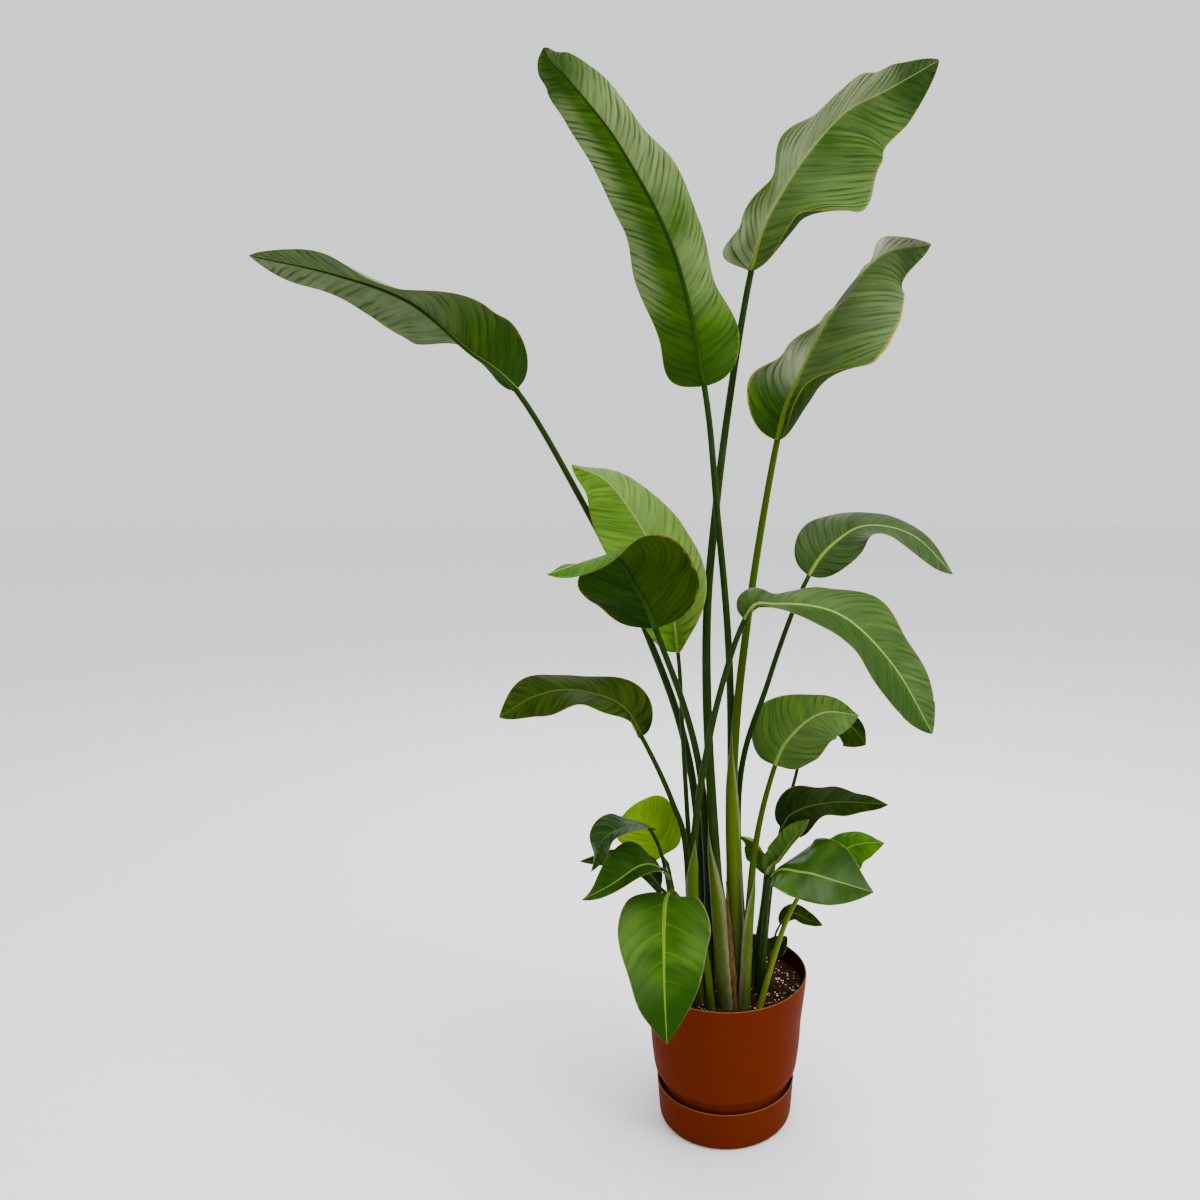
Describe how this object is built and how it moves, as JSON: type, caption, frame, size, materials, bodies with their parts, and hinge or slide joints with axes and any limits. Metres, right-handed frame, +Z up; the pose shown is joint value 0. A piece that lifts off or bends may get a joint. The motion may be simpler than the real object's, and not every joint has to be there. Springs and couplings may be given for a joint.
{
  "type": "potted bird of paradise",
  "caption": "Tall potted bird of paradise: a clump of paddle-shaped leaves on upright stalks in a round tapered pot with soil, standing in a matching water tray.",
  "frame": {"origin": "centre of the water tray's underside", "axes": "+Z up, -Y towards the picture's camera, +X to its right"},
  "size_m": [1.1542, 0.4121, 1.862],
  "materials": {
    "blade": "satin green leaf blade",
    "stalk": "smooth green leaf stalk",
    "husk": "dry papery brown husk",
    "pot": "matte burnt terracotta",
    "soil": "loose dark potting mix with white grains"
  },
  "bodies": {
    "root": {"water_tray": "pot", "pot": "pot", "soil": "soil", "dry_husk": "husk", "centre_back_blade": "blade", "centre_back_stalk": "stalk", "centre_front_blade": "blade", "centre_front_stalk": "stalk", "far_left_blade": "blade", "far_left_stalk": "stalk", "front_heart_blade": "blade", "front_heart_stalk": "stalk", "left_arching_blade": "blade", "left_arching_stalk": "stalk", "low_curved_blade": "blade", "low_curved_stalk": "stalk", "low_folded_blade": "blade", "low_folded_stalk": "stalk", "low_left_bright_blade": "blade", "low_left_bright_stalk": "stalk", "low_left_glossy_blade": "blade", "low_left_glossy_stalk": "stalk", "low_left_olive_blade": "blade", "low_left_olive_stalk": "stalk", "low_left_shaded_blade": "blade", "low_left_shaded_stalk": "stalk", "low_right_back_blade": "blade", "low_right_back_stalk": "stalk", "low_right_heart_blade": "blade", "low_right_heart_stalk": "stalk", "right_arching_blade": "blade", "right_arching_stalk": "stalk", "right_dark_blade": "blade", "right_dark_stalk": "stalk", "right_hidden_blade": "blade", "right_hidden_stalk": "stalk", "right_round_blade": "blade", "right_round_stalk": "stalk", "right_small_blade": "blade", "right_small_stalk": "stalk", "seedling_curled_blade": "blade", "seedling_curled_stalk": "stalk", "seedling_round_blade": "blade", "seedling_round_stalk": "stalk", "top_left_blade": "blade", "top_left_stalk": "stalk", "top_right_blade": "blade", "top_right_stalk": "stalk", "upper_right_blade": "blade", "upper_right_stalk": "stalk"}
  },
  "joints": []
}
